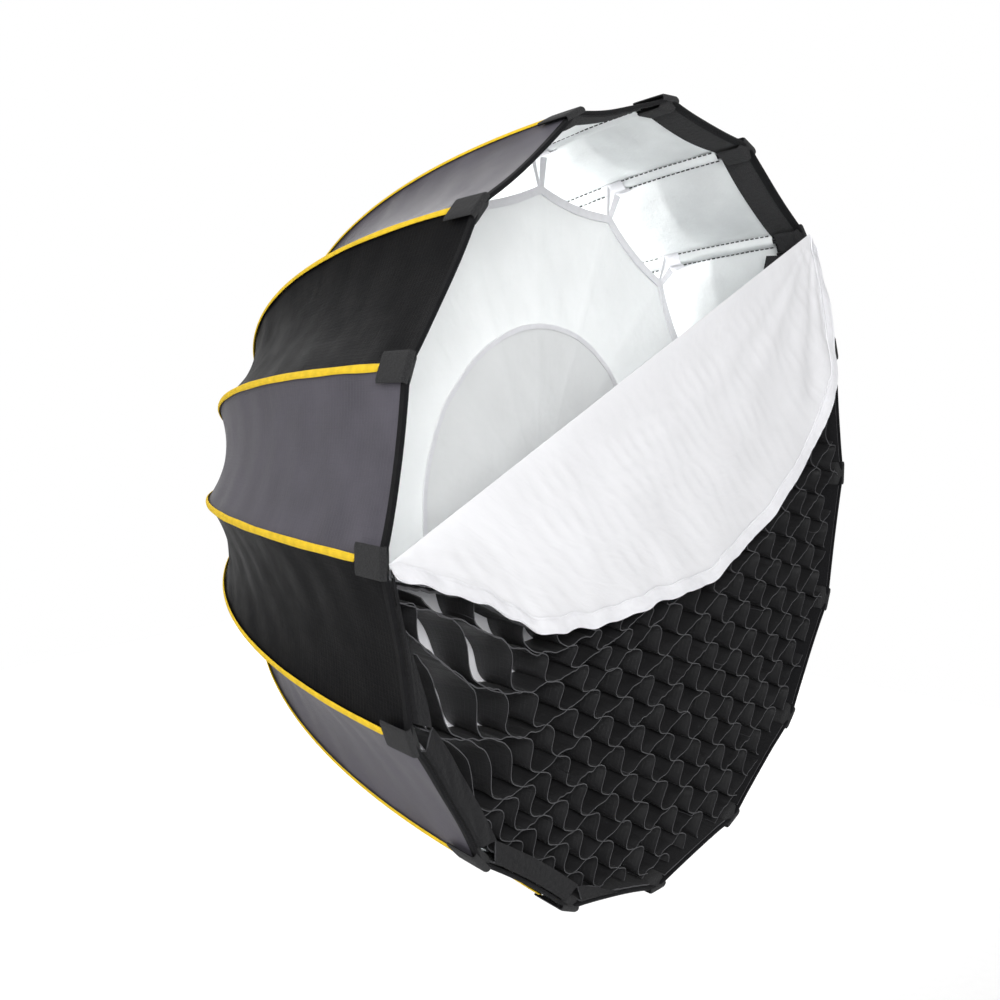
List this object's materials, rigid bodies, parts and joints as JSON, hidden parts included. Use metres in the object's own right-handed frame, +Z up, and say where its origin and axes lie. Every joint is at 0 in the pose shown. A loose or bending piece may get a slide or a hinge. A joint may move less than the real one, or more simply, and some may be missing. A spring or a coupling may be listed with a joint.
{
  "type": "octabox",
  "caption": "Deep multi-rib octabox softbox on a folding hub with bayonet adapter, inner baffle, half-peeled front diffuser and cloth honeycomb grid.",
  "frame": {"origin": "centre of the adapter's mounting face, on the optical axis", "axes": "+Z up, +Y to the rear along the optical axis towards the light, -Y the way the light leaves, +X to the right seen from the front"},
  "size_m": [0.9042, 0.5815, 0.9042],
  "materials": {
    "black_nylon": "satin coated nylon, ripstop weave",
    "charcoal_nylon": "satin coated nylon, ripstop weave",
    "yellow_binding": "woven grosgrain tape",
    "black_webbing": "brushed loop webbing",
    "silver_lining": "silver coated cloth, satin",
    "white_diffusion": "translucent white cloth",
    "white_binding": "white woven tape",
    "black_grid_cloth": "matt black nylon strip",
    "cast_aluminium": "black powder coat, fine texture",
    "bare_aluminium": "turned, satin",
    "steel": "zinc plated",
    "glass_fibre": "pultruded rod, satin black",
    "black_plastic": "moulded, fine texture"
  },
  "bodies": {
    "adapter": {"adapter_ring": "bare_aluminium"},
    "hub": {"hub_ring": "cast_aluminium", "retaining_ring": "cast_aluminium", "retaining_screws": "steel", "arm_pins": "steel", "detent_plungers": "steel", "hub_cuff": "black_webbing", "canopy_black_gores": "black_nylon", "canopy_charcoal_gores": "charcoal_nylon", "seam_piping": "yellow_binding", "rod_sleeves": "silver_lining", "corner_pockets": "black_webbing", "rim_loop_band": "black_webbing", "inner_baffle": "white_diffusion", "baffle_patch": "white_diffusion", "baffle_binding": "white_binding", "baffle_tabs": "white_binding", "diffuser_fixed_part": "white_diffusion", "grid_strips": "black_grid_cloth", "grid_border": "black_webbing"},
    "clamp": {"clamp_screw": "steel", "clamp_knob": "black_plastic"},
    "flap": {"diffuser_flap": "white_diffusion", "flap_hook_tape": "white_binding"},
    "rib_01": {"rib_arm_01": "steel", "rib_rod_01": "glass_fibre"},
    "rib_02": {"rib_arm_02": "steel", "rib_rod_02": "glass_fibre"},
    "rib_03": {"rib_arm_03": "steel", "rib_rod_03": "glass_fibre"},
    "rib_04": {"rib_arm_04": "steel", "rib_rod_04": "glass_fibre"},
    "rib_05": {"rib_arm_05": "steel", "rib_rod_05": "glass_fibre"},
    "rib_06": {"rib_arm_06": "steel", "rib_rod_06": "glass_fibre"},
    "rib_07": {"rib_arm_07": "steel", "rib_rod_07": "glass_fibre"},
    "rib_08": {"rib_arm_08": "steel", "rib_rod_08": "glass_fibre"},
    "rib_09": {"rib_arm_09": "steel", "rib_rod_09": "glass_fibre"},
    "rib_10": {"rib_arm_10": "steel", "rib_rod_10": "glass_fibre"},
    "rib_11": {"rib_arm_11": "steel", "rib_rod_11": "glass_fibre"},
    "rib_12": {"rib_arm_12": "steel", "rib_rod_12": "glass_fibre"},
    "rib_13": {"rib_arm_13": "steel", "rib_rod_13": "glass_fibre"},
    "rib_14": {"rib_arm_14": "steel", "rib_rod_14": "glass_fibre"},
    "rib_15": {"rib_arm_15": "steel", "rib_rod_15": "glass_fibre"},
    "rib_16": {"rib_arm_16": "steel", "rib_rod_16": "glass_fibre"}
  },
  "joints": [
    {"name": "swivel", "type": "hinge", "parent": "adapter", "child": "hub", "pos_m": [0, 0, 0], "axis": [0, 1, 0], "continuous": true},
    {"name": "clamp_turn", "type": "hinge", "parent": "hub", "child": "clamp", "pos_m": [0.06111, -0.008, -0.09146], "axis": [0.5556, 0, -0.8315], "range_deg": [0, 360]},
    {"name": "flap_close", "type": "hinge", "parent": "hub", "child": "flap", "pos_m": [-0.446, -0.5665, 0], "axis": [-0.9239, 0, -0.3827], "range_deg": [0, 178], "deforming": ["diffuser_flap", "flap_hook_tape"]},
    {"name": "rib_fold_01", "type": "hinge", "parent": "hub", "child": "rib_01", "pos_m": [0, -0.028, 0.086], "axis": [1, 0, 0], "range_deg": [0, 30], "deforming": ["canopy_black_gores", "canopy_charcoal_gores", "seam_piping", "rod_sleeves", "corner_pockets", "rim_loop_band", "inner_baffle", "baffle_patch", "baffle_binding", "baffle_tabs", "diffuser_fixed_part", "grid_strips", "grid_border"]},
    {"name": "rib_fold_02", "type": "hinge", "parent": "hub", "child": "rib_02", "pos_m": [-0.03291, -0.028, 0.07945], "axis": [0.9239, 0, 0.3827], "range_deg": [0, 30]},
    {"name": "rib_fold_03", "type": "hinge", "parent": "hub", "child": "rib_03", "pos_m": [-0.06081, -0.028, 0.06081], "axis": [0.7071, 0, 0.7071], "range_deg": [0, 30]},
    {"name": "rib_fold_04", "type": "hinge", "parent": "hub", "child": "rib_04", "pos_m": [-0.07945, -0.028, 0.03291], "axis": [0.3827, 0, 0.9239], "range_deg": [0, 30]},
    {"name": "rib_fold_05", "type": "hinge", "parent": "hub", "child": "rib_05", "pos_m": [-0.086, -0.028, 0], "axis": [0, 0, 1], "range_deg": [0, 30]},
    {"name": "rib_fold_06", "type": "hinge", "parent": "hub", "child": "rib_06", "pos_m": [-0.07945, -0.028, -0.03291], "axis": [-0.3827, 0, 0.9239], "range_deg": [0, 30]},
    {"name": "rib_fold_07", "type": "hinge", "parent": "hub", "child": "rib_07", "pos_m": [-0.06081, -0.028, -0.06081], "axis": [-0.7071, 0, 0.7071], "range_deg": [0, 30]},
    {"name": "rib_fold_08", "type": "hinge", "parent": "hub", "child": "rib_08", "pos_m": [-0.03291, -0.028, -0.07945], "axis": [-0.9239, 0, 0.3827], "range_deg": [0, 30]},
    {"name": "rib_fold_09", "type": "hinge", "parent": "hub", "child": "rib_09", "pos_m": [0, -0.028, -0.086], "axis": [-1, 0, 0], "range_deg": [0, 30]},
    {"name": "rib_fold_10", "type": "hinge", "parent": "hub", "child": "rib_10", "pos_m": [0.03291, -0.028, -0.07945], "axis": [-0.9239, 0, -0.3827], "range_deg": [0, 30]},
    {"name": "rib_fold_11", "type": "hinge", "parent": "hub", "child": "rib_11", "pos_m": [0.06081, -0.028, -0.06081], "axis": [-0.7071, 0, -0.7071], "range_deg": [0, 30]},
    {"name": "rib_fold_12", "type": "hinge", "parent": "hub", "child": "rib_12", "pos_m": [0.07945, -0.028, -0.03291], "axis": [-0.3827, 0, -0.9239], "range_deg": [0, 30]},
    {"name": "rib_fold_13", "type": "hinge", "parent": "hub", "child": "rib_13", "pos_m": [0.086, -0.028, 0], "axis": [0, 0, -1], "range_deg": [0, 30]},
    {"name": "rib_fold_14", "type": "hinge", "parent": "hub", "child": "rib_14", "pos_m": [0.07945, -0.028, 0.03291], "axis": [0.3827, 0, -0.9239], "range_deg": [0, 30]},
    {"name": "rib_fold_15", "type": "hinge", "parent": "hub", "child": "rib_15", "pos_m": [0.06081, -0.028, 0.06081], "axis": [0.7071, 0, -0.7071], "range_deg": [0, 30]},
    {"name": "rib_fold_16", "type": "hinge", "parent": "hub", "child": "rib_16", "pos_m": [0.03291, -0.028, 0.07945], "axis": [0.9239, 0, -0.3827], "range_deg": [0, 30]}
  ],
  "couplings": [
    {"joint": "rib_fold_02", "follows": "rib_fold_01", "ratio": 1},
    {"joint": "rib_fold_03", "follows": "rib_fold_01", "ratio": 1},
    {"joint": "rib_fold_04", "follows": "rib_fold_01", "ratio": 1},
    {"joint": "rib_fold_05", "follows": "rib_fold_01", "ratio": 1},
    {"joint": "rib_fold_06", "follows": "rib_fold_01", "ratio": 1},
    {"joint": "rib_fold_07", "follows": "rib_fold_01", "ratio": 1},
    {"joint": "rib_fold_08", "follows": "rib_fold_01", "ratio": 1},
    {"joint": "rib_fold_09", "follows": "rib_fold_01", "ratio": 1},
    {"joint": "rib_fold_10", "follows": "rib_fold_01", "ratio": 1},
    {"joint": "rib_fold_11", "follows": "rib_fold_01", "ratio": 1},
    {"joint": "rib_fold_12", "follows": "rib_fold_01", "ratio": 1},
    {"joint": "rib_fold_13", "follows": "rib_fold_01", "ratio": 1},
    {"joint": "rib_fold_14", "follows": "rib_fold_01", "ratio": 1},
    {"joint": "rib_fold_15", "follows": "rib_fold_01", "ratio": 1},
    {"joint": "rib_fold_16", "follows": "rib_fold_01", "ratio": 1}
  ]
}
